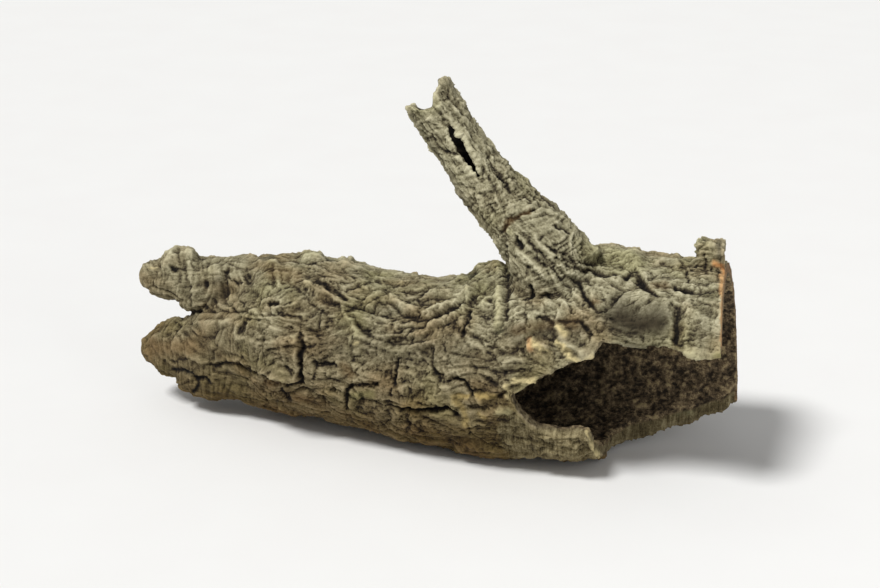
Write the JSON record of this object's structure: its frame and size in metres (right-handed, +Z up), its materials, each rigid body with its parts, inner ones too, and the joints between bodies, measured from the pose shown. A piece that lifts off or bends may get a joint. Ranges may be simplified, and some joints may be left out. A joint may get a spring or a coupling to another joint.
{
  "type": "cork bark tube",
  "caption": "Hollow tube of rough cork bark with a forked end, a slanting hollow side branch, a sawn end and a torn side window.",
  "frame": {"origin": "centre of the bounding box's base, on the surface the bark lies on", "axes": "+X along the trunk to its sawn end, +Z up, the torn window facing -Y"},
  "size_m": [0.4992, 0.164, 0.3008],
  "materials": {
    "weathered_bark": "matte"
  },
  "bodies": {
    "root": {"cork_bark_tube": "weathered_bark"}
  },
  "joints": []
}
